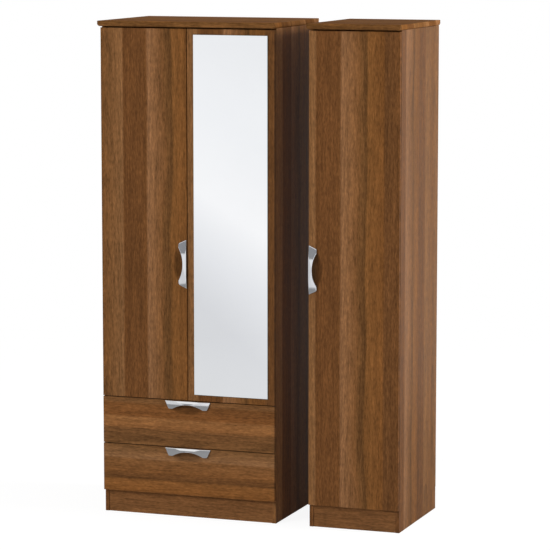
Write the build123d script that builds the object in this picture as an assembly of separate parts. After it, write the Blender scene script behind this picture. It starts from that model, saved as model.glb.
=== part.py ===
"""Wardrobe set with doors: a double wardrobe with a mirror door over two drawers, and a single wardrobe.

Millimetres. X runs to the right, Y to the back and Z up. The origin lies on the floor,
in the middle of the outline of the set seen from above.
"""
import math
import os

from build123d import *

# Set and carcasses
overall_height = 1970.0
double_width = 730.0
single_width = 368.0
unit_gap = 140.0
carcass_depth = 494.0
panel_thickness = 15.0
back_thickness = 3.0
overcut = 1.0

# Tops
top_thickness = 22.0
top_side_overhang = 5.0
top_front_overhang = 19.0
top_lower_round = 10.0
top_upper_round = 1.5

# Doors and drawer fronts
front_thickness = 15.0
front_gap = 2.0
front_inset = 0.5
front_reveal = 3.0
front_round = 1.0
front_bottom = 89.5
drawer_split = 282.2
door_split = 472.4
top_shadow_gap = 5.0

# Inside of the carcasses
plinth_height = 88.0
plinth_setback = 3.0
shelf_drop = 288.0
shelf_setback = 30.0
rail_drop = 62.0
rail_height = 30.0
rail_width = 15.0
rail_wall = 1.2
rail_fit = 0.2
socket_plate = 2.0
socket_length = 10.0
socket_wall = 2.5

# Mirror
mirror_thickness = 4.0
mirror_side_margin = 27.0
mirror_top_margin = 22.5
mirror_bottom_margin = 25.0
mirror_bevel = 0.8

# Concealed hinges: u counts inward from the outer carcass face, v forward from the carcass front edge
cup_radius = 17.4
cup_wall = 0.8
cup_depth = 12.0
cup_edge = 3.0
cup_fit = 0.1
cup_flange_length = 56.0
cup_flange_width = 18.0
cup_flange_thickness = 0.8
flange_hole_radius = 2.2
fixed_pin_reach = 10.0
fixed_pin_depth = 8.5
cup_pin_offset = 1.2
cup_pin_rise = 0.5
knuckle_radius = 2.2
pin_radius = 1.25
pin_fit = 0.05
link_half = 3.0
hinge_play = 0.3
cheek_thickness = 1.5
arm_length = 56.0
arm_half = 8.0
arm_height = 8.0
arm_sheet = 1.5
arm_heel = 6.0
arm_clearance = 0.5
arm_screw_radius = 3.5
arm_screw_height = 1.4
plate_thickness = 3.0
plate_half = 9.0
plate_setback = 12.0
plate_length = 52.0
wing_setback = 37.0
wing_half = 24.0
wing_width = 14.0
wing_thickness = 2.0
wing_screw_pitch_half = 16.0
wing_screw_radius = 3.6
wing_screw_height = 1.2
hinge_end = 100.0
double_hinges = 3
single_hinges = 4

# Handles: a low bowed pull with flat flared ends and a bar between them, rounded on its straight edge
handle_length = 194.0
handle_width = 33.0
handle_end_slant = 15.0
handle_waist = 15.0
handle_lobe_width = 18.0
handle_corner = 7.5
handle_height = 12.0
handle_end_height = 5.0
handle_crown_radius = 300.0
handle_crown_line = 14.0
handle_bar_radius = 36.0
handle_bar_line = 15.0
handle_edge_round = 2.6
handle_arch_half = 58.0
handle_arch_height = 7.5
handle_inset = 1.0
door_handle_height = 1018.0
screw_pitch_half = 73.0
screw_offset = 23.0
screw_radius = 2.0
screw_fit = 0.05
screw_hole_fit = 0.3
screw_bite = 4.0
screw_head_radius = 4.0
screw_head_height = 1.5
screw_slot_width = 1.2
screw_slot_length = 5.0
screw_slot_depth = 0.7

# Finger recess: a dished hollow in a front, partly behind the waist of its handle
recess_half = 69.0
recess_line = 31.0
recess_swell = 26.0
recess_depth = 9.0

# Drawer boxes on runner battens
drawer_rear_gap = 43.0
drawer_board = 12.0
drawer_box_height = 140.0
drawer_box_rise = 18.0
drawer_side_play = 1.5
drawer_bottom_thickness = 3.0
drawer_bottom_rise = 10.0
drawer_back_drop = 12.0
drawer_groove_depth = 5.0
groove_fit = 0.15
batten_height = 16.0
batten_bite = 6.0
batten_play = 0.4
batten_rear_gap = 49.0
batten_rise = 70.0
batten_setback = 12.0

# Derived positions
set_width = double_width + unit_gap + single_width + 2 * top_side_overhang
set_depth = carcass_depth + front_gap + front_thickness + top_front_overhang
double_x = -set_width / 2 + top_side_overhang
single_x = double_x + double_width + unit_gap
rear_y = set_depth / 2
edge_y = rear_y - carcass_depth
inner_y = edge_y - front_gap
face_y = inner_y - front_thickness
board_rear_y = rear_y - back_thickness
drawer_length = board_rear_y - drawer_rear_gap - inner_y
batten_length = board_rear_y - batten_rear_gap - edge_y - batten_setback
side_height = overall_height - top_thickness
front_top = side_height - top_shadow_gap
shelf_height = side_height - shelf_drop
deck_bottom = door_split - panel_thickness / 2
deck_top = door_split + panel_thickness / 2
base_top = plinth_height + panel_thickness
door_bottom = door_split + front_reveal / 2
upper_front = (drawer_split + front_reveal / 2, door_split - front_reveal / 2)
lower_front = (front_bottom, drawer_split - front_reveal / 2)
cup_centre = front_inset + cup_edge + cup_radius + cup_fit
fixed_pin = (cup_centre - fixed_pin_reach, front_gap + fixed_pin_depth)
cup_pin = (cup_centre + cup_pin_offset, front_gap - cup_pin_rise)
cheek_inner = link_half + hinge_play
cheek_outer = cheek_inner + cheek_thickness
ear_inner = cheek_outer + hinge_play
ear_outer = ear_inner + cheek_thickness


def block(x0, x1, y0, y1, z0, z1):
    """Box between two limits on each axis."""
    middle = Pos((x0 + x1) / 2, (y0 + y1) / 2, (z0 + z1) / 2)
    return middle * Box(x1 - x0, y1 - y0, z1 - z0)


def slab(outline, z0, z1):
    """Outline drawn in X and Y, raised between two heights."""
    return extrude(Pos(0, 0, z0) * outline, amount=z1 - z0)


def slab_pair(outline, z, near, far):
    """Two equal slabs above and below a middle height."""
    return slab(outline, z + near, z + far) + slab(outline, z - far, z - near)


def upright(outline, y0, y1):
    """Outline drawn in X and Z, drawn forward from y0 to y1."""
    return extrude(Pos(0, y0, 0) * Rot(90, 0, 0) * outline, amount=y0 - y1)


def strap(start, end, radius):
    """Flat bar outline with round ends about two points."""
    length = math.dist(start, end)
    angle = math.degrees(math.atan2(end[1] - start[1], end[0] - start[0]))
    middle = Pos((start[0] + end[0]) / 2, (start[1] + end[1]) / 2)
    return middle * Rot(0, 0, angle) * SlotOverall(length + 2 * radius, 2 * radius)


def hinge_point(outer_x, hand, u, v):
    """Plan position u inward of the outer carcass face and v in front of the carcass edge."""
    return (outer_x + hand * u, edge_y - v)


def hinge_block(outer_x, hand, u, v, z):
    """Box in hinge measures, mirrored for a right-hand hinge."""
    ends = sorted((outer_x + hand * u[0], outer_x + hand * u[1]))
    return block(ends[0], ends[1], edge_y - v[1], edge_y - v[0], z[0], z[1])


def hinge_heights(bottom, top, count):
    """Heights of the hinges along one door."""
    first = bottom + hinge_end
    pitch = (top - bottom - 2 * hinge_end) / (count - 1)
    return [first + pitch * i for i in range(count)]


def hinge_plate(outer_x, hand, z):
    """Mounting plate on the inner face of a side, with two wing screws."""
    seat = panel_thickness
    bar_v = (-plate_setback - plate_length, -plate_setback)
    wing_v = (-wing_setback - wing_width / 2, -wing_setback + wing_width / 2)
    plate = hinge_block(outer_x, hand, (seat, seat + plate_thickness), bar_v, (z - plate_half, z + plate_half))
    plate += hinge_block(outer_x, hand, (seat, seat + wing_thickness), wing_v, (z - wing_half, z + wing_half))
    x, y = hinge_point(outer_x, hand, seat + wing_thickness + wing_screw_height / 2, -wing_setback)
    head = Rot(0, 90, 0) * Cylinder(wing_screw_radius, wing_screw_height)
    for side in (-1, 1):
        plate += Pos(x, y, z + side * wing_screw_pitch_half) * head
    return plate


def hinge_arm(outer_x, hand, z):
    """Channel arm on the plate, with two cheeks that reach round into the cup."""
    seat = panel_thickness + plate_thickness
    foot = panel_thickness + arm_clearance
    neck_u = foot + knuckle_radius
    nose = hinge_point(outer_x, hand, *fixed_pin)
    knee = hinge_point(outer_x, hand, neck_u, fixed_pin[1])
    heel = hinge_point(outer_x, hand, neck_u, -arm_heel)
    hole = Pos(*nose) * Circle(pin_radius + pin_fit)
    cheek = strap(nose, knee, knuckle_radius) + strap(knee, heel, knuckle_radius) - hole
    arm = slab_pair(cheek, z, cheek_inner, cheek_outer)
    lid = (seat + arm_height - arm_sheet, seat + arm_height)
    reach = (-arm_heel - arm_length, -arm_heel)
    front = (-arm_heel - arm_sheet, -arm_heel)
    arm += hinge_block(outer_x, hand, lid, reach, (z - arm_half, z + arm_half))
    arm += hinge_block(outer_x, hand, (foot, lid[1]), front, (z - arm_half, z + arm_half))
    channel = (-arm_heel - arm_length, -plate_setback)
    for near, far in ((-arm_half, -arm_half + arm_sheet), (arm_half - arm_sheet, arm_half)):
        arm += hinge_block(outer_x, hand, (seat, lid[1]), channel, (z + near, z + far))
    x, y = hinge_point(outer_x, hand, lid[1] + arm_screw_height / 2, -wing_setback)
    return arm + Pos(x, y, z) * Rot(0, 90, 0) * Cylinder(arm_screw_radius, arm_screw_height)


def hinge_link(outer_x, hand, z):
    """Link with one pin in the arm cheeks and one in the cup ears."""
    fixed = hinge_point(outer_x, hand, *fixed_pin)
    moving = hinge_point(outer_x, hand, *cup_pin)
    link = slab(strap(fixed, moving, knuckle_radius), z - link_half, z + link_half)
    link += slab(Pos(*fixed) * Circle(pin_radius), z - cheek_outer, z + cheek_outer)
    link += slab(Pos(*moving) * Circle(pin_radius), z - ear_outer, z + ear_outer)
    return link


def hinge_cup(outer_x, hand, z):
    """Pressed cup with a screw flange and two ears for the moving pin."""
    x = outer_x + hand * cup_centre
    rim = Pos(x, z) * Circle(cup_radius)
    hollow = Pos(x, z) * Circle(cup_radius - cup_wall)
    flange = Pos(x, z) * Rot(0, 0, 90) * SlotOverall(cup_flange_length, cup_flange_width)
    hole_pitch = (cup_flange_length - cup_flange_width) / 2
    holes = [Pos(x, z + side * hole_pitch) * Circle(flange_hole_radius) for side in (-1, 1)]
    cup = upright(rim, inner_y, inner_y - cup_depth)
    cup += upright(flange + rim - holes, inner_y + cup_flange_thickness, inner_y)
    cup -= upright(hollow, inner_y + cup_flange_thickness, inner_y - cup_depth + cup_wall)
    moving = hinge_point(outer_x, hand, *cup_pin)
    foot = hinge_point(outer_x, hand, cup_pin[0], front_gap + cup_depth - knuckle_radius)
    ear = strap(moving, foot, knuckle_radius) - Pos(*moving) * Circle(pin_radius + pin_fit)
    return cup + slab_pair(ear, z, ear_inner, ear_outer)


def front_board(x0, x1, z0, z1):
    """Door or drawer front with softened edges on its face."""
    board = block(x0, x1, face_y, inner_y, z0, z1)
    return fillet(board.edges().group_by(Axis.Y)[0], front_round)


def cup_bores(outer_x, hand, heights):
    """Blind bores for the hinge cups in the rear of a door."""
    x = outer_x + hand * cup_centre
    bore = [Pos(x, z) * Circle(cup_radius + cup_fit) for z in heights]
    return [upright(outline, inner_y, inner_y - cup_depth - cup_fit) for outline in bore]


def barrel(half, ends, middle):
    """Barrel along X, given by its half length and its radii at the ends and in the middle."""
    bow = ThreePointArc((-half, ends), (0, middle), (half, ends))
    profile = make_face([bow, Polyline((half, ends), (half, 0), (-half, 0), (-half, ends))])
    return revolve(profile, Axis.X)


def handle_outline():
    """Straight edge along X, slanted ends, two round lobes and a hollow waist between them."""
    half = handle_length / 2
    shoulder = half - handle_end_slant
    inner = shoulder - handle_lobe_width
    sag = handle_width - handle_waist
    radius = (inner ** 2 + sag ** 2) / (2 * sag)
    blank = Polygon(
        (-half, 0), (half, 0), (shoulder, handle_width), (-shoulder, handle_width), align=None
    )
    shape = blank - Pos(0, handle_waist + radius) * Circle(radius)
    return fillet(shape.vertices().group_by(Axis.Y)[-1], handle_corner)


def handle():
    """Chromed pull lying on its back: straight edge along X, width along Y, height along Z.

    A barrel gives the bow along the pull and a slight crown across it. The outline cuts it to shape,
    a tighter round along the straight edge makes a bar of the middle, and an arch under it leaves
    room for the fingers.
    """
    half = handle_length / 2
    ends = handle_crown_radius
    middle = ends + handle_height - handle_end_height
    body = Pos(0, handle_crown_line, handle_end_height - ends) * barrel(half, ends, middle)
    pull = body & extrude(handle_outline(), amount=handle_height)
    pull = fillet(pull.faces().sort_by(Axis.Z)[-1].edges(), handle_edge_round)
    bar = Rot(0, 90, 0) * Cylinder(handle_bar_radius, handle_length)
    pull &= Pos(0, handle_bar_line, handle_height - handle_bar_radius) * bar
    reach = handle_arch_half
    arch = ThreePointArc((-reach, 0), (0, handle_arch_height), (reach, 0))
    hollow = make_face([arch, Line((reach, 0), (-reach, 0))])
    pull -= extrude(Rot(90, 0, 0) * hollow, amount=-handle_width)
    thread = Circle(screw_radius + screw_fit)
    for side in (-1, 1):
        pull -= extrude(Pos(side * screw_pitch_half, screw_offset) * thread, amount=screw_bite)
    return pull


def handle_screws():
    """Two screws in the handle frame, from the lobes back through the board."""
    rear = -front_thickness
    screws = []
    for side in (-1, 1):
        centre = Pos(side * screw_pitch_half, screw_offset)
        shank = extrude(centre * Pos(0, 0, rear) * Circle(screw_radius), amount=front_thickness + screw_bite)
        head = extrude(
            centre * Pos(0, 0, rear - screw_head_height) * Circle(screw_head_radius), amount=screw_head_height
        )
        slot = centre * Pos(0, 0, rear - screw_head_height) * Box(
            screw_slot_width, screw_slot_length, 2 * screw_slot_depth
        )
        screws.append(shank + head - slot)
    return screws


def handle_holes():
    """Clearance holes for the screws through a board, in the handle frame."""
    hole = Circle(screw_radius + screw_hole_fit)
    spots = [Pos(side * screw_pitch_half, screw_offset) for side in (-1, 1)]
    return [extrude(spot * hole, amount=-front_thickness - overcut) for spot in spots]


def finger_recess():
    """Dished hollow in the handle frame: a barrel sunk into the face behind the waist of the handle."""
    ends = (recess_swell ** 2 / recess_depth - recess_depth) / 2
    return Pos(0, recess_line, ends) * barrel(recess_half, ends, ends + recess_depth)


def carcass(x0, width):
    """Boards shared by both wardrobes, without their middle boards."""
    x1 = x0 + width
    inner = (x0 + panel_thickness, x1 - panel_thickness)
    boards = {}
    boards["left_side"] = block(x0, inner[0], edge_y, board_rear_y, 0, side_height)
    boards["right_side"] = block(inner[1], x1, edge_y, board_rear_y, 0, side_height)
    boards["base"] = block(*inner, edge_y, board_rear_y, plinth_height, base_top)
    plinth_y = edge_y + plinth_setback
    boards["plinth"] = block(*inner, plinth_y, plinth_y + panel_thickness, 0, plinth_height)
    boards["hat_shelf"] = block(
        *inner, edge_y + shelf_setback, board_rear_y, shelf_height, shelf_height + panel_thickness
    )
    boards["back"] = block(x0, x1, board_rear_y, rear_y, plinth_height, side_height)
    top = block(
        x0 - top_side_overhang, x1 + top_side_overhang, face_y - top_front_overhang, rear_y,
        side_height, overall_height,
    )
    top = fillet(top.edges().group_by(Axis.Z)[0].sort_by(Axis.Y)[:-1], top_lower_round)
    boards["top"] = fillet(top.edges().group_by(Axis.Z)[-1].sort_by(Axis.Y)[:-1], top_upper_round)
    return boards


def hanging_rail(x0, width):
    """Oval tube between two sockets, and the sockets."""
    z = shelf_height - rail_drop
    y = (edge_y + board_rear_y) / 2
    ends = (x0 + panel_thickness + socket_plate, x0 + width - panel_thickness - socket_plate)
    tilt = Pos(0, y, z) * Rot(0, 90, 0)
    tube = SlotOverall(rail_height, rail_width)
    tube -= SlotOverall(rail_height - 2 * rail_wall, rail_width - 2 * rail_wall)
    rail = Pos(ends[0], 0, 0) * extrude(tilt * tube, amount=ends[1] - ends[0])
    room = 2 * rail_fit
    rim = SlotOverall(rail_height + room + 2 * socket_wall, rail_width + room + 2 * socket_wall)
    ring = rim - SlotOverall(rail_height + room, rail_width + room)
    sockets = []
    for end, inward in ((ends[0], 1), (ends[1], -1)):
        cup = extrude(Pos(end, 0, 0) * tilt * rim, amount=-inward * socket_plate)
        cup += extrude(Pos(end, 0, 0) * tilt * ring, amount=inward * socket_length)
        sockets.append(cup)
    return rail, sockets


def drawer(front_z, spot):
    """Drawer front, box boards, handle, screws and the two carcass battens."""
    inner = (double_x + panel_thickness, double_x + double_width - panel_thickness)
    outer = (inner[0] + drawer_side_play, inner[1] - drawer_side_play)
    z0 = front_z[0] + drawer_box_rise
    z1 = z0 + drawer_box_height
    rear = inner_y + drawer_length
    slot_z = (z0 + drawer_bottom_rise, z0 + drawer_bottom_rise + drawer_bottom_thickness)
    groove = block(
        outer[0] + drawer_board - drawer_groove_depth, outer[1] - drawer_board + drawer_groove_depth,
        inner_y - drawer_groove_depth, rear + overcut, slot_z[0] - groove_fit, slot_z[1] + groove_fit,
    )
    batten_z = (z0 + batten_rise, z0 + batten_rise + batten_height)
    front = front_board(double_x + front_inset, double_x + double_width - front_inset, *front_z)
    front -= [spot * hole for hole in handle_holes()]
    pieces = {"front": front - spot * finger_recess() - groove}
    battens = []
    for name, wall, inward in (("left", inner[0], 1), ("right", inner[1], -1)):
        face = wall + inward * drawer_side_play
        side = block(*sorted((face, face + inward * drawer_board)), inner_y, rear, z0, z1)
        track = block(
            *sorted((face - inward * overcut, face + inward * (batten_bite + batten_play))),
            inner_y - overcut, rear + overcut,
            batten_z[0] - batten_play, batten_z[1] + batten_play / 2,
        )
        pieces[name + "_side"] = side - groove - track
        batten_y = edge_y + batten_setback
        reach = wall + inward * (drawer_side_play + batten_bite)
        battens.append(block(*sorted((wall, reach)), batten_y, batten_y + batten_length, *batten_z))
    within = (outer[0] + drawer_board, outer[1] - drawer_board)
    pieces["back"] = block(*within, rear - drawer_board, rear, slot_z[1], z1 - drawer_back_drop)
    pieces["bottom"] = block(
        within[0] - drawer_groove_depth + groove_fit, within[1] + drawer_groove_depth - groove_fit,
        inner_y - drawer_groove_depth + groove_fit, rear, *slot_z,
    )
    pieces["handle"] = spot * handle()
    pieces["handle_screws"] = [spot * screw for screw in handle_screws()]
    return pieces, battens


def door(x0, x1, z0, outer_x, hand, heights, spot):
    """Door board, its cups and links, and the handle with its screws where it has one."""
    board = front_board(x0, x1, z0, front_top) - cup_bores(outer_x, hand, heights)
    pieces = {"hinge_cups": [hinge_cup(outer_x, hand, z) for z in heights]}
    pieces["hinge_links"] = [hinge_link(outer_x, hand, z) for z in heights]
    if spot is not None:
        board -= [spot * hole for hole in handle_holes()]
        board -= spot * finger_recess()
        pieces["handle"] = spot * handle()
        pieces["handle_screws"] = [spot * screw for screw in handle_screws()]
    pieces["board"] = board
    return pieces


def save(name, shape):
    """Write one node, alone or as a group of loose solids."""
    node = Compound(children=shape) if isinstance(shape, list) else shape
    export_step(node, f"parts/{name}.step")


os.makedirs("parts", exist_ok=True)

double_end = double_x + double_width
single_end = single_x + single_width
double_middle = double_x + double_width / 2

for unit, x0, width in (("double", double_x, double_width), ("single", single_x, single_width)):
    for name, board in carcass(x0, width).items():
        save(f"{unit}_{name}", board)
    rail, sockets = hanging_rail(x0, width)
    save(f"{unit}_hanging_rail", rail)
    save(f"{unit}_rail_sockets", sockets)

deck = block(
    double_x + panel_thickness, double_end - panel_thickness, edge_y, board_rear_y, deck_bottom, deck_top
)
save("double_drawer_deck", deck)

handle_left = Plane(
    (double_middle - front_reveal / 2 - handle_inset, face_y, door_handle_height), (0, 0, 1), (0, -1, 0)
)
handle_single = Plane(
    (single_x + front_inset + handle_inset, face_y, door_handle_height), (0, 0, -1), (0, -1, 0)
)
double_heights = hinge_heights(door_bottom, front_top, double_hinges)
single_heights = hinge_heights(front_bottom, front_top, single_hinges)
doors = {
    "left_door": (
        double_x + front_inset, double_middle - front_reveal / 2, door_bottom,
        double_x, 1, double_heights, handle_left.location,
    ),
    "mirror_door": (
        double_middle + front_reveal / 2, double_end - front_inset, door_bottom,
        double_end, -1, double_heights, None,
    ),
    "single_door": (
        single_x + front_inset, single_end - front_inset, front_bottom,
        single_end, -1, single_heights, handle_single.location,
    ),
}
plates = []
arms = []
for name, place in doors.items():
    for piece, shape in door(*place).items():
        save(f"{name}_{piece}", shape)
    outer_x, hand, heights = place[3:6]
    plates += [hinge_plate(outer_x, hand, z) for z in heights]
    arms += [hinge_arm(outer_x, hand, z) for z in heights]
save("hinge_plates", plates)
save("hinge_arms", arms)

mirror = block(
    double_middle + front_reveal / 2 + mirror_side_margin, double_end - front_inset - mirror_side_margin,
    face_y - mirror_thickness, face_y, door_bottom + mirror_bottom_margin, front_top - mirror_top_margin,
)
save("mirror_glass", chamfer(mirror.edges().group_by(Axis.Y)[0], mirror_bevel))

battens = []
for name, front_z in (("upper_drawer", upper_front), ("lower_drawer", lower_front)):
    spot = Plane((double_middle, face_y, front_z[1] - handle_inset), (-1, 0, 0), (0, -1, 0)).location
    pieces, pair = drawer(front_z, spot)
    battens += pair
    for piece, shape in pieces.items():
        save(f"{name}_{piece}", shape)
save("drawer_battens", battens)
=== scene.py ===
import math
from functools import reduce

import bpy
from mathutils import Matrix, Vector


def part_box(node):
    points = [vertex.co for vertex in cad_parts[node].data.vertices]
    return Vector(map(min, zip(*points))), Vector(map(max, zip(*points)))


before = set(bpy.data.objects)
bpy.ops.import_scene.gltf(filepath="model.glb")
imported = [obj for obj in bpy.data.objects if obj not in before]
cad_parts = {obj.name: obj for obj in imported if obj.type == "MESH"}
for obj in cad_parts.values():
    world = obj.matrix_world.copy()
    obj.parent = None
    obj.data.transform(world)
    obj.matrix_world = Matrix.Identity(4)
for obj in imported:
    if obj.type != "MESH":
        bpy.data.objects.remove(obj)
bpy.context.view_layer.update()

# Places read from the frame, in metres
FACE_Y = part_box("left_door_board")[0][1]
DOUBLE_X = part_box("double_left_side")[0][0]
SINGLE_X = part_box("single_left_side")[0][0]

# Camera: place in metres, turn and tilt in degrees, focal length and picture in pixels, sensor in mm
CAMERA_PLACE = (3.74884, -10.32634, 2.40010)
CAMERA_YAW = 19.835
CAMERA_PITCH = 7.487
FOCAL_PIXELS = 2775.5
IMAGE_PIXELS = 550
SENSOR_WIDTH = 36.0
VIEW_DEPTH = 200.0

# Strips of the walnut foil: end in metres, tone at the start and at the end, strength of its flames
UPRIGHT_FOIL = (
    (0.094, (105, 69, 37), (125, 87, 53), 0.9),
    (0.196, (99, 63, 33), (103, 66, 35), 0.3),
    (0.272, (131, 92, 60), (113, 75, 42), 0.8),
    (0.303, (106, 71, 39), (92, 61, 32), 1.0),
    (0.371, (116, 76, 39), (111, 71, 35), 0.4),
    (0.455, (97, 63, 34), (101, 65, 35), 0.5),
    (0.560, (117, 80, 46), (109, 72, 39), 0.9),
)
LEVEL_FOIL = (
    (0.050, (104, 70, 41), (98, 65, 37), 0.5),
    (0.089, (95, 63, 36), (100, 66, 37), 0.4),
    (0.142, (119, 76, 38), (124, 81, 42), 0.3),
    (0.166, (95, 62, 33), (100, 65, 35), 0.8),
    (0.226, (115, 75, 40), (122, 82, 47), 0.5),
    (0.282, (127, 90, 58), (117, 81, 48), 0.7),
    (0.350, (103, 70, 40), (107, 72, 41), 1.0),
    (0.396, (131, 87, 49), (136, 92, 53), 0.5),
    (0.450, (111, 70, 36), (108, 69, 36), 0.3),
    (0.520, (112, 76, 44), (104, 70, 40), 0.8),
)

# Run of the grain on a board: shares of the axes that count across it, and the axis along it
UPRIGHT_FRONT = ((("X", 1.0),), "Z")
LEVEL_FRONT = ((("Z", 1.0), ("Y", 0.35)), "X")
FLANK = ((("Y", 1.0), ("X", 0.35)), "Z")
FLAT_BOARD = ((("Y", 1.0), ("Z", 0.8)), "X")
DRAWER_BOX = ((("Z", 1.0), ("X", 0.4)), "Y")

# Joints between strips: half widths for the colour and for the figure, and how far they wander
SOFT_JOINT = 0.0040
HARD_JOINT = 0.0006
JOINT_WANDER = 0.008

# The one joint of a foil that sways like a flame: its place, the width drawn along and the sway
FLAME_EDGE = 0.272
FLAME_REACH = 0.070
FLAME_SWAY = 0.100

# Usual range of a noise: its middle, and how far to either side a material, grain or polish follows it
NOISE_MIDDLE = 0.5
NOISE_REACH = 0.2
GRAIN_REACH = 0.25
POLISH_REACH = 0.3

# Layers of the grain: features per metre across and along it, shift of the noise, detail, roughness
WANDER = (2.0, 1.1, 0.0, 1.0, 0.5)
SWAY = (0.4, 1.7, 9.1, 1.0, 0.5)
DRIFT = (11.0, 2.6, 7.7, 3.0, 0.5)
STREAK = (85.0, 1.8, 4.4, 3.0, 0.6)
DASH = (150.0, 13.0, 1.3, 3.0, 0.65)
FLECK = (75.0, 55.0, 2.6, 3.0, 0.6)
SPECK = (290.0, 52.0, 3.2, 1.0, 0.5)
PORE = (620.0, 30.0, 5.9, 2.0, 0.5)
PORE_EDGE = (0.56, 0.72)

# Slow clouds in a strip: features across it and per metre along it, and the shift from strip to strip
CLOUD_WIDE = 1.7
CLOUD_LONG = 1.6
CLOUD_SHIFT = 40.0

# Growth rings: rise per metre, by strip, in an arch and by drift, then rings per unit of rise
LENGTH_RISE = 1.1
STRIP_RISE = 5.0
ARCH_RISE = 1.7
DRIFT_RISE = 0.42
RINGS = 3.4
RING_EDGE = (0.35, 0.93)
FINE_RINGS = 15.0
FINE_RING_EDGE = (0.4, 0.9)

# Number that sets each strip apart, and where in the strip its rings have their heart
STRIP_STEP = 0.37
HEART_START = 0.2
HEART_SPAN = 0.6

# How far the layers dim or brighten the foil, as shares of its colour
CLOUD_DEPTH = 0.14
STREAK_DEPTH = 0.14
DASH_DEPTH = 0.26
FLECK_DEPTH = 0.13
SPECK_DEPTH = 0.24
RING_DEPTH = 0.20
FINE_RING_DEPTH = 0.09
FLAME_LIFT = 0.09
PORE_DEPTH = 0.18

# Feel of the foil: how far dashes polish and roughen it, and their height against the pores
DASH_POLISH = 0.06
DASH_ROUGHEN = 0.08
DASH_HEIGHT = 0.4

# Dished finger hollows in metres: distance from the handle's edge, half length, half width, depth
HOLLOW_LINE = 0.031
HOLLOW_LONG = 0.069
HOLLOW_WIDE = 0.026
HOLLOW_DEPTH = 0.009

# Painted shade in the hollows: how far it dims them, the depth where it is full, its reach past rim and
# bottom
HOLLOW_PAINTED_SHADE = 0.42
PAINTED_SHADE_DEPTH = 0.0055
PAINTED_SHADE_RIM = 1.1
PAINTED_SHADE_ROOM = 0.001

# Noises of all materials: features per metre or per unit of a stretched vector, detail, roughness
CLOUD = (1.0, 3.0, 0.5)
FIBRE = (420.0, 5.0, 0.7)
BOARD_CLOUD = (14.0, 2.0, 0.5)
POLISH_MARK = (1.0, 3.0, 0.5)
SMUDGE = (40.0, 3.0, 0.5)
PLASTIC_CLOUD = (60.0, 4.0, 0.5)
PLASTIC_SPECK = (900.0, 2.0, 0.5)
HAZE = (3.0, 3.0, 0.5)

# Share of the fibres in the hardboard's colour, and of the polishing marks in a metal's roughness
FIBRE_SHARE = 0.8
MARK_SHARE = 0.5

# Lowest and highest roughness
BOARD_ROUGHNESS = (0.6, 0.78)
PLASTIC_ROUGHNESS = (0.42, 0.6)
MIRROR_ROUGHNESS = (0.015, 0.04)

# Bumps: strength and height in metres
FOIL_BUMP = (0.12, 0.0004)
BOARD_BUMP = (0.2, 0.0003)
METAL_BUMP = (0.03, 0.0001)
PLASTIC_BUMP = (0.15, 0.0002)

# Mirror: tones of its face and cut edges, and the share of the normal to the front where they meet
SILVER_TONES = ((245, 246, 247), (248, 249, 250))
EDGE_TONES = ((92, 108, 104), (120, 138, 132))
MIRROR_FACE = (0.90, 0.97)

# Floor in metres: its size, its drop below the object, and its grey for the shadow
FLOOR_SIZE = 400.0
FLOOR_DROP = 0.0005
FLOOR_GREY = (0.86, 0.86, 0.86, 1.0)
FLOOR_ROUGHNESS = 0.9

# White glow over the shadow: distances between which it fills out, its cover and strength near by
SHADOW_FADE = (1.5, 5.0)
SHADOW_COVER = 0.82
SHADOW_GLOW = 1.1

# Floor in reflections: a grey zone near the object, then pale bands across a slanting direction
GREY_ZONE = (2.86, 3.04)
GREY_SHARE = 0.30
BAND_X = 0.870
BAND_Y = -0.492
BAND_REACH = 8.0
BAND_TONES = (
    (0.04, (219, 220, 222)), (0.10, (221, 222, 225)), (0.15, (236, 237, 240)),
    (0.22, (254, 254, 255)), (0.38, (247, 248, 250)), (0.75, (242, 243, 245)),
)

# Sky in reflections: its tone near the horizon, and the sines of the heights where it turns white
SKY_TONE = (148, 149, 152)
GREY_SKY = 0.19
WHITE_SKY = 0.26

# Light all round, and soft boxes: place, point they face, width, height, power in watts
AMBIENT_COLOUR = (1.0, 0.99, 0.975, 1.0)
AMBIENT_STRENGTH = 0.30
SOFT_BOXES = {
    "right_soft_box": ((5.6, 0.7, 2.6), (0.5, 0.0, 1.0), 2.2, 3.0, 330.0),
    "left_soft_box": ((-6.1, -9.1, 6.0), (0.0, 0.0, 0.9), 5.0, 5.0, 965.0),
}

WHITE = (1.0, 1.0, 1.0, 1.0)


def tone(red, green, blue):
    """Linear colour from display values of 0 to 255."""
    linear = []
    for value in (red, green, blue):
        part = value / 255
        linear.append(part / 12.92 if part <= 0.04045 else ((part + 0.055) / 1.055) ** 2.4)
    return (*linear, 1.0)


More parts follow.
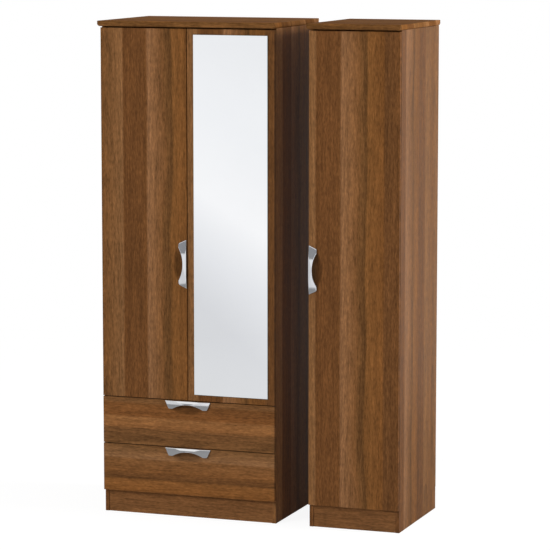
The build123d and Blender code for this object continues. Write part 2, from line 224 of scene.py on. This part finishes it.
class Nodes:
    """Short way to place and join shader nodes in a material or a world."""

    def __init__(self, owner):
        owner.use_nodes = True
        self.owner = owner
        self.tree = owner.node_tree
        self.shader = self.tree.nodes.get("Principled BSDF")

    def add(self, kind, **settings):
        node = self.tree.nodes.new(kind)
        for key, value in settings.items():
            setattr(node, key, value)
        return node

    def join(self, value, socket):
        """Link a socket's value to another socket, or set a constant on it."""
        if isinstance(value, bpy.types.NodeSocket):
            self.tree.links.new(value, socket)
        else:
            socket.default_value = value

    def math(self, operation, first, second=None):
        node = self.add("ShaderNodeMath", operation=operation)
        self.join(first, node.inputs[0])
        if second is not None:
            self.join(second, node.inputs[1])
        return node.outputs[0]

    def weighted(self, terms):
        """Sum of values, each times its weight."""
        products = [self.math("MULTIPLY", value, weight) for value, weight in terms]
        return reduce(lambda total, product: self.math("ADD", total, product), products)

    def vector(self, x, y, z):
        node = self.add("ShaderNodeCombineXYZ")
        for socket, value in zip(node.inputs, (x, y, z)):
            self.join(value, socket)
        return node.outputs[0]

    def axes(self, vector):
        """The three numbers of a vector, by name."""
        node = self.add("ShaderNodeSeparateXYZ")
        self.join(vector, node.inputs[0])
        return node.outputs

    def coordinate(self, kind):
        return self.add("ShaderNodeTexCoord").outputs[kind]

    def rays(self):
        """Whether a ray is the camera's or came through glass, and whether it is that or a reflection."""
        kinds = self.add("ShaderNodeLightPath").outputs
        clear = self.math("MAXIMUM", kinds["Is Camera Ray"], kinds["Is Transmission Ray"])
        return clear, self.math("MAXIMUM", clear, kinds["Is Glossy Ray"])

    def noise(self, vector, scale, detail, roughness):
        node = self.add("ShaderNodeTexNoise")
        self.join(vector, node.inputs["Vector"])
        node.inputs["Scale"].default_value = scale
        node.inputs["Detail"].default_value = detail
        node.inputs["Roughness"].default_value = roughness
        return node.outputs["Fac"]

    def spread(self, value, low, high, out_low, out_high):
        """Map one range to another, without going past its ends."""
        node = self.add("ShaderNodeMapRange", clamp=True)
        sockets = ("Value", "From Min", "From Max", "To Min", "To Max")
        for name, item in zip(sockets, (value, low, high, out_low, out_high)):
            self.join(item, node.inputs[name])
        return node.outputs[0]

    def swing(self, noise, low, high, reach=NOISE_REACH):
        """Map the usual range of a noise to two values."""
        return self.spread(noise, NOISE_MIDDLE - reach, NOISE_MIDDLE + reach, low, high)

    def ramp(self, value, stops):
        node = self.add("ShaderNodeValToRGB")
        self.join(value, node.inputs["Fac"])
        elements = node.color_ramp.elements
        elements[0].position, elements[0].color = stops[0]
        elements[1].position, elements[1].color = stops[-1]
        for position, colour in stops[1:-1]:
            elements.new(position).color = colour
        return node.outputs["Color"]

    def tones(self, noise, low, high):
        """Colours between two display tones over the usual range of a noise."""
        ends = (NOISE_MIDDLE - NOISE_REACH, NOISE_MIDDLE + NOISE_REACH)
        return self.ramp(noise, ((ends[0], tone(*low)), (ends[1], tone(*high))))

    def mix(self, factor, first, second):
        node = self.add("ShaderNodeMix", data_type="RGBA")
        self.join(factor, node.inputs["Factor"])
        self.join(first, node.inputs["A"])
        self.join(second, node.inputs["B"])
        return node.outputs["Result"]

    def scale_colour(self, colour, factor):
        node = self.add("ShaderNodeVectorMath", operation="SCALE")
        self.join(colour, node.inputs[0])
        self.join(factor, node.inputs["Scale"])
        return node.outputs[0]

    def bump(self, height, strength, distance):
        node = self.add("ShaderNodeBump")
        self.join(height, node.inputs["Height"])
        node.inputs["Strength"].default_value = strength
        node.inputs["Distance"].default_value = distance
        self.join(node.outputs["Normal"], self.shader.inputs["Normal"])

    def show(self, output, factor, first, second):
        """Send two shaders, shared out by a factor, to the output."""
        node = self.add("ShaderNodeMixShader")
        for socket, value in zip(node.inputs, (factor, first, second)):
            self.join(value, socket)
        self.join(node.outputs[0], self.tree.nodes[output].inputs["Surface"])


def foil_stops(strips, gain):
    """Ramp stops of the strip colours, and of place in the strip, strip number and flame strength."""
    period = strips[-1][0]
    start = 0.0
    colours = []
    guides = []
    for number, (end, first, last, flames) in enumerate(strips):
        for edge, inward, colour, share in ((start, 1.0, first, 0.0), (end, -1.0, last, 1.0)):
            shade = [channel * gain for channel in tone(*colour)[:3]]
            colours.append(((edge + inward * SOFT_JOINT) / period, (*shade, 1.0)))
            guide = (share, number * STRIP_STEP % 1.0, flames, 1.0)
            guides.append(((edge + inward * HARD_JOINT) / period, guide))
        start = end
    return period, colours, guides


def strip_place(n, layer, side, shift, period):
    """Place across the foil as a share of its width, with wandering joints and one that sways."""
    wander = n.math("SUBTRACT", layer(*WANDER), NOISE_MIDDLE)
    bent = n.math("ADD", side, n.math("MULTIPLY", wander, JOINT_WANDER))
    straight = n.math("FRACT", n.math("DIVIDE", n.math("ADD", bent, shift), period))
    near = n.math("ABSOLUTE", n.math("SUBTRACT", straight, FLAME_EDGE / period))
    near = n.spread(near, 0.0, FLAME_REACH / period, 1.0, 0.0)
    sway = n.math("SUBTRACT", layer(*SWAY), NOISE_MIDDLE)
    sway = n.math("MULTIPLY", n.math("MULTIPLY", sway, near), FLAME_SWAY / period)
    return n.math("ADD", straight, sway)


def growth_rings(n, layer, length, share, number, flames):
    """Coarse and fine rings cut at a slant: nested arches that point along the grain."""
    middle = n.math("ADD", n.math("MULTIPLY", number, HEART_SPAN), HEART_START)
    heart = n.math("SUBTRACT", share, middle)
    arch = n.math("MULTIPLY", heart, heart)
    rise = n.weighted((
        (length, LENGTH_RISE), (number, STRIP_RISE), (arch, ARCH_RISE), (layer(*DRIFT), DRIFT_RISE),
    ))
    lines = []
    for count, edge in ((RINGS, RING_EDGE), (FINE_RINGS, FINE_RING_EDGE)):
        ring = n.math("FRACT", n.math("MULTIPLY", rise, count))
        lines.append(n.math("MULTIPLY", n.spread(ring, *edge, 0.0, 1.0), flames))
    return lines


def hollow_painted_shade(n, axes, hollow):
    """Share of the colour left in a finger hollow under its painted shade, from its middle in X and Z and
    its half sizes.
    """
    middle_x, middle_z, half_x, half_z = hollow
    span_x = n.math("DIVIDE", n.math("SUBTRACT", axes["X"], middle_x), half_x)
    span_z = n.math("DIVIDE", n.math("SUBTRACT", axes["Z"], middle_z), half_z)
    within = n.math("ADD", n.math("MULTIPLY", span_x, span_x), n.math("MULTIPLY", span_z, span_z))
    above = n.math("LESS_THAN", axes["Y"], FACE_Y + HOLLOW_DEPTH + PAINTED_SHADE_ROOM)
    mask = n.math("MULTIPLY", n.math("LESS_THAN", within, PAINTED_SHADE_RIM), above)
    # Painted shade: the deeper a point lies in the hollow, the more its colour is dimmed
    painted_shade = n.spread(axes["Y"], FACE_Y, FACE_Y + PAINTED_SHADE_DEPTH, 0.0, HOLLOW_PAINTED_SHADE)
    return n.math("SUBTRACT", 1.0, n.math("MULTIPLY", mask, painted_shade))


def walnut(name, grain, strips, shift, seed, gain=1.0, rough=0.46, gloss=0.05, hollow=None):
    """Satin walnut-effect foil; a board has its own shift of the strips in metres and its own noise."""
    n = Nodes(bpy.data.materials.new(name))
    axes = n.axes(n.coordinate("Object"))
    across, along = grain
    length = axes[along]
    side = n.weighted([(axes[axis], factor) for axis, factor in across])

    def layer(wide, long, step, detail, roughness):
        stretched = (n.math("MULTIPLY", side, wide), n.math("MULTIPLY", length, long))
        return n.noise(n.vector(*stretched, seed + step), 1.0, detail, roughness)

    # Strips and the rings in them
    period, colours, guides = foil_stops(strips, gain)
    place = strip_place(n, layer, side, shift, period)
    colour = n.ramp(place, colours)
    guide = n.add("ShaderNodeSeparateColor")
    n.join(n.ramp(place, guides), guide.inputs[0])
    share, number, flames = guide.outputs
    ring, fine_ring = growth_rings(n, layer, length, share, number, flames)

    # Slow changes within a strip, then streaks, dashes, flecks, specks and pores
    cloud_across = n.math("MULTIPLY", share, CLOUD_WIDE)
    cloud_along = n.math("MULTIPLY", length, CLOUD_LONG)
    cloud_seed = n.math("ADD", n.math("MULTIPLY", number, CLOUD_SHIFT), seed)
    cloud = n.noise(n.vector(cloud_across, cloud_along, cloud_seed), *CLOUD)
    dash = layer(*DASH)
    pore = n.spread(layer(*PORE), *PORE_EDGE, 0.0, 1.0)
    level = n.swing(cloud, 1.0 - CLOUD_DEPTH, 1.0 + CLOUD_DEPTH, GRAIN_REACH)
    for noise, depth in (
        (layer(*STREAK), STREAK_DEPTH), (dash, DASH_DEPTH), (layer(*FLECK), FLECK_DEPTH),
        (layer(*SPECK), SPECK_DEPTH),
    ):
        level = n.math("MULTIPLY", level, n.swing(noise, 1.0 - depth, 1.0 + depth, GRAIN_REACH))
    for mark, lift in (
        (ring, -RING_DEPTH), (fine_ring, -FINE_RING_DEPTH), (flames, FLAME_LIFT), (pore, -PORE_DEPTH),
    ):
        level = n.math("ADD", level, n.math("MULTIPLY", mark, lift))
    # Painted shade: the colour of the finger hollow is dimmed
    if hollow:
        level = n.math("MULTIPLY", level, hollow_painted_shade(n, axes, hollow))

    n.join(n.scale_colour(colour, level), n.shader.inputs["Base Color"])
    polish = n.swing(dash, rough - DASH_POLISH, rough + DASH_ROUGHEN, POLISH_REACH)
    n.join(polish, n.shader.inputs["Roughness"])
    n.shader.inputs["Specular IOR Level"].default_value = gloss
    n.bump(n.math("SUBTRACT", n.math("MULTIPLY", dash, DASH_HEIGHT), pore), *FOIL_BUMP)
    return n.owner


def board(name, low, high):
    """Matt printed hardboard with a fibrous speckle."""
    n = Nodes(bpy.data.materials.new(name))
    point = n.coordinate("Object")
    fibre = n.noise(point, *FIBRE)
    cloud = n.noise(point, *BOARD_CLOUD)
    both = n.weighted(((fibre, FIBRE_SHARE), (cloud, 1.0 - FIBRE_SHARE)))
    n.join(n.tones(both, low, high), n.shader.inputs["Base Color"])
    n.join(n.swing(fibre, *BOARD_ROUGHNESS), n.shader.inputs["Roughness"])
    n.bump(fibre, *BOARD_BUMP)
    return n.owner


def metal(name, low, high, smooth, rough, streaks):
    """Plated metal with smudges and faint polishing marks, which are given per metre on each axis."""
    n = Nodes(bpy.data.materials.new(name))
    point = n.coordinate("Object")
    stretched = [n.math("MULTIPLY", part, count) for part, count in zip(n.axes(point), streaks)]
    marks = n.noise(n.vector(*stretched), *POLISH_MARK)
    smudge = n.noise(point, *SMUDGE)
    n.join(n.tones(smudge, low, high), n.shader.inputs["Base Color"])
    both = n.weighted(((marks, MARK_SHARE), (smudge, 1.0 - MARK_SHARE)))
    n.join(n.swing(both, smooth, rough), n.shader.inputs["Roughness"])
    n.shader.inputs["Metallic"].default_value = 1.0
    n.bump(marks, *METAL_BUMP)
    return n.owner


def plastic(name, low, high):
    """Fine-grained moulded plastic."""
    n = Nodes(bpy.data.materials.new(name))
    point = n.coordinate("Object")
    speck = n.noise(point, *PLASTIC_SPECK)
    n.join(n.tones(n.noise(point, *PLASTIC_CLOUD), low, high), n.shader.inputs["Base Color"])
    n.join(n.swing(speck, *PLASTIC_ROUGHNESS), n.shader.inputs["Roughness"])
    n.bump(speck, *PLASTIC_BUMP)
    return n.owner


def mirror(name):
    """Silvered glass: a clear reflecting face, a pale bevel and greenish cut edges."""
    n = Nodes(bpy.data.materials.new(name))
    haze = n.noise(n.coordinate("Object"), *HAZE)
    front = n.math("ABSOLUTE", n.axes(n.coordinate("Normal"))["Y"])
    facing = n.spread(front, *MIRROR_FACE, 0.0, 1.0)
    colour = n.mix(facing, n.tones(haze, *EDGE_TONES), n.tones(haze, *SILVER_TONES))
    n.join(colour, n.shader.inputs["Base Color"])
    n.join(facing, n.shader.inputs["Metallic"])
    n.join(n.swing(haze, *MIRROR_ROUGHNESS), n.shader.inputs["Roughness"])
    return n.owner


def floor_paint(name):
    """Floor that is white to the camera, apart from the shadow, and grey and pale in reflections."""
    n = Nodes(bpy.data.materials.new(name))
    point = n.coordinate("Object")
    axes = n.axes(point)
    clear, seen = n.rays()
    reach = n.add("ShaderNodeVectorMath", operation="LENGTH")
    n.join(point, reach.inputs[0])
    distance = reach.outputs["Value"]
    slant = n.weighted(((axes["X"], BAND_X), (axes["Y"], BAND_Y)))
    stops = [(place, tone(*colour)) for place, colour in BAND_TONES]
    reflected = n.ramp(n.spread(slant, 0.0, BAND_REACH, 0.0, 1.0), stops)
    reflected = n.scale_colour(reflected, n.spread(distance, *GREY_ZONE, GREY_SHARE, 1.0))
    glow = n.add("ShaderNodeEmission")
    n.join(n.mix(clear, reflected, WHITE), glow.inputs["Color"])
    n.join(n.spread(distance, *SHADOW_FADE, SHADOW_GLOW, 1.0), glow.inputs["Strength"])
    cover = n.math("MULTIPLY", seen, n.spread(distance, *SHADOW_FADE, SHADOW_COVER, 1.0))
    n.shader.inputs["Base Color"].default_value = FLOOR_GREY
    n.shader.inputs["Roughness"].default_value = FLOOR_ROUGHNESS
    n.shader.inputs["Specular IOR Level"].default_value = 0.0
    n.show("Material Output", cover, n.shader.outputs[0], glow.outputs[0])
    return n.owner


def studio(name):
    """World with an even light, white to the camera, and a sky that is grey low in reflections."""
    n = Nodes(bpy.data.worlds.new(name))
    ambient = n.tree.nodes["Background"]
    ambient.inputs["Color"].default_value = AMBIENT_COLOUR
    ambient.inputs["Strength"].default_value = AMBIENT_STRENGTH
    clear, seen = n.rays()
    height = n.axes(n.coordinate("Generated"))["Z"]
    sky = n.ramp(height, ((GREY_SKY, tone(*SKY_TONE)), (WHITE_SKY, WHITE)))
    shown = n.add("ShaderNodeBackground")
    n.join(n.mix(clear, sky, WHITE), shown.inputs["Color"])
    n.show("World Output", seen, ambient.outputs[0], shown.outputs[0])
    return n.owner


def lamp(name, place, aim, width, height, power):
    """Rectangular soft box that faces a point and isn't seen in reflections."""
    data = bpy.data.lights.new(name, "AREA")
    data.shape = "RECTANGLE"
    data.size = width
    data.size_y = height
    data.energy = power
    item = bpy.data.objects.new(name, data)
    bpy.context.collection.objects.link(item)
    item.location = place
    item.rotation_euler = (Vector(aim) - Vector(place)).to_track_quat("-Z", "Y").to_euler()
    item.visible_glossy = False


def upright_hollow(handle, inward):
    """Middle and half sizes of the hollow beside an upright handle, which lies inward along X."""
    low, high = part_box(handle)
    edge = low[0] if inward > 0 else high[0]
    return edge + inward * HOLLOW_LINE, (low[2] + high[2]) / 2, HOLLOW_WIDE, HOLLOW_LONG


def level_hollow(handle):
    """Middle and half sizes of the hollow below a level handle."""
    low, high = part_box(handle)
    return (low[0] + high[0]) / 2, high[2] - HOLLOW_LINE, HOLLOW_LONG, HOLLOW_WIDE


# Materials of single boards and of the mirror
paint = {
    "left_door_board": walnut(
        "walnut_left_door", UPRIGHT_FRONT, UPRIGHT_FOIL, shift=-DOUBLE_X, seed=2.0,
        hollow=upright_hollow("left_door_handle", -1),
    ),
    "mirror_door_board": walnut(
        "walnut_mirror_door", UPRIGHT_FRONT, UPRIGHT_FOIL, shift=0.30, seed=11.0,
    ),
    "single_door_board": walnut(
        "walnut_single_door", UPRIGHT_FRONT, UPRIGHT_FOIL, shift=0.066 - SINGLE_X, seed=5.0,
        gain=1.05, hollow=upright_hollow("single_door_handle", 1),
    ),
    "upper_drawer_front": walnut(
        "walnut_upper_drawer", LEVEL_FRONT, LEVEL_FOIL, shift=0.086, seed=9.0,
        hollow=level_hollow("upper_drawer_handle"),
    ),
    "lower_drawer_front": walnut(
        "walnut_lower_drawer", LEVEL_FRONT, LEVEL_FOIL, shift=0.086, seed=14.0,
        hollow=level_hollow("lower_drawer_handle"),
    ),
    # Painted light: the plinths' foil is brightened where little light reaches near the floor
    "double_plinth": walnut(
        "walnut_double_plinth", LEVEL_FRONT, LEVEL_FOIL, shift=0.080, seed=21.0, gain=1.38,
    ),
    "single_plinth": walnut(
        "walnut_single_plinth", LEVEL_FRONT, LEVEL_FOIL, shift=0.080, seed=23.0, gain=1.38,
    ),
    # Painted light: the tops' foil is brightened, as if lit from above
    "double_top": walnut(
        "walnut_double_top", FLAT_BOARD, UPRIGHT_FOIL, shift=0.1, seed=31.0,
        gain=1.3, rough=0.7, gloss=0.01,
    ),
    "single_top": walnut(
        "walnut_single_top", FLAT_BOARD, UPRIGHT_FOIL, shift=0.1, seed=37.0,
        gain=1.12, rough=0.7, gloss=0.01,
    ),
    "double_left_side": walnut(
        "walnut_double_left", FLANK, UPRIGHT_FOIL, shift=0.05, seed=41.0,
    ),
    # Painted light: this side, shaded by the single wardrobe, has its foil brightened
    "double_right_side": walnut(
        "walnut_double_right", FLANK, UPRIGHT_FOIL, shift=0.21, seed=43.0,
        gain=1.42, rough=0.6, gloss=0.13,
    ),
    "single_left_side": walnut(
        "walnut_single_left", FLANK, UPRIGHT_FOIL, shift=0.33, seed=47.0,
    ),
    # Painted shade: this lit side has its foil dimmed
    "single_right_side": walnut(
        "walnut_single_right", FLANK, UPRIGHT_FOIL, shift=0.15, seed=53.0, gain=0.9, gloss=0.11,
    ),
    "mirror_glass": mirror("mirror_glass"),
}

# Materials that several pieces share
inner_board = walnut(
    "walnut_inner_boards", FLAT_BOARD, UPRIGHT_FOIL, shift=0.2, seed=61.0, rough=0.5,
)
box_board = walnut(
    "walnut_drawer_boxes", DRAWER_BOX, LEVEL_FOIL, shift=0.2, seed=67.0, gain=1.15, rough=0.55,
)
hardboard = board("printed_hardboard", low=(96, 66, 42), high=(124, 88, 58))
chrome = metal(
    "polished_chrome", low=(226, 227, 229), high=(232, 232, 233), smooth=0.03, rough=0.07,
    streaks=(60.0, 60.0, 900.0),
)
tube = metal(
    "plated_tube", low=(200, 201, 203), high=(218, 219, 221), smooth=0.10, rough=0.20,
    streaks=(8.0, 600.0, 600.0),
)
steel = metal(
    "nickel_steel", low=(168, 167, 163), high=(194, 193, 189), smooth=0.22, rough=0.36,
    streaks=(300.0, 300.0, 60.0),
)
screw = metal(
    "zinc_screw", low=(150, 151, 153), high=(186, 187, 189), smooth=0.25, rough=0.42,
    streaks=(700.0, 300.0, 700.0),
)
socket = plastic("socket_plastic", low=(70, 52, 40), high=(86, 64, 50))
batten = plastic("batten_plastic", low=(92, 70, 54), high=(110, 86, 68))

for name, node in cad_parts.items():
    if name in paint:
        material = paint[name]
    elif name.endswith("_handle"):
        material = chrome
    elif name.endswith("_screws"):
        material = screw
    elif "hinge" in name:
        material = steel
    elif name.endswith("hanging_rail"):
        material = tube
    elif name.endswith("rail_sockets"):
        material = socket
    elif name == "drawer_battens":
        material = batten
    elif name.endswith("drawer_bottom") or name in ("double_back", "single_back"):
        material = hardboard
    elif name.startswith(("upper", "lower")):
        material = box_board
    else:
        material = inner_board
    node.data.materials.clear()
    node.data.materials.append(material)

# Floor, world and lamps
bpy.ops.mesh.primitive_plane_add(size=FLOOR_SIZE, location=(0.0, 0.0, -FLOOR_DROP))
floor = bpy.context.object
floor.name = "floor"
floor.data.materials.append(floor_paint("floor_paint"))
bpy.context.scene.world = studio("studio")
for name, settings in SOFT_BOXES.items():
    lamp(name, *settings)

# Camera
camera_data = bpy.data.cameras.new("camera")
camera_data.sensor_fit = "HORIZONTAL"
camera_data.sensor_width = SENSOR_WIDTH
camera_data.lens = SENSOR_WIDTH * FOCAL_PIXELS / IMAGE_PIXELS
camera_data.clip_end = VIEW_DEPTH
camera = bpy.data.objects.new("camera", camera_data)
bpy.context.collection.objects.link(camera)
camera.location = CAMERA_PLACE
camera.rotation_euler = (math.radians(90.0 - CAMERA_PITCH), 0.0, math.radians(CAMERA_YAW))
bpy.context.scene.camera = camera
bpy.context.scene.view_settings.view_transform = "Standard"
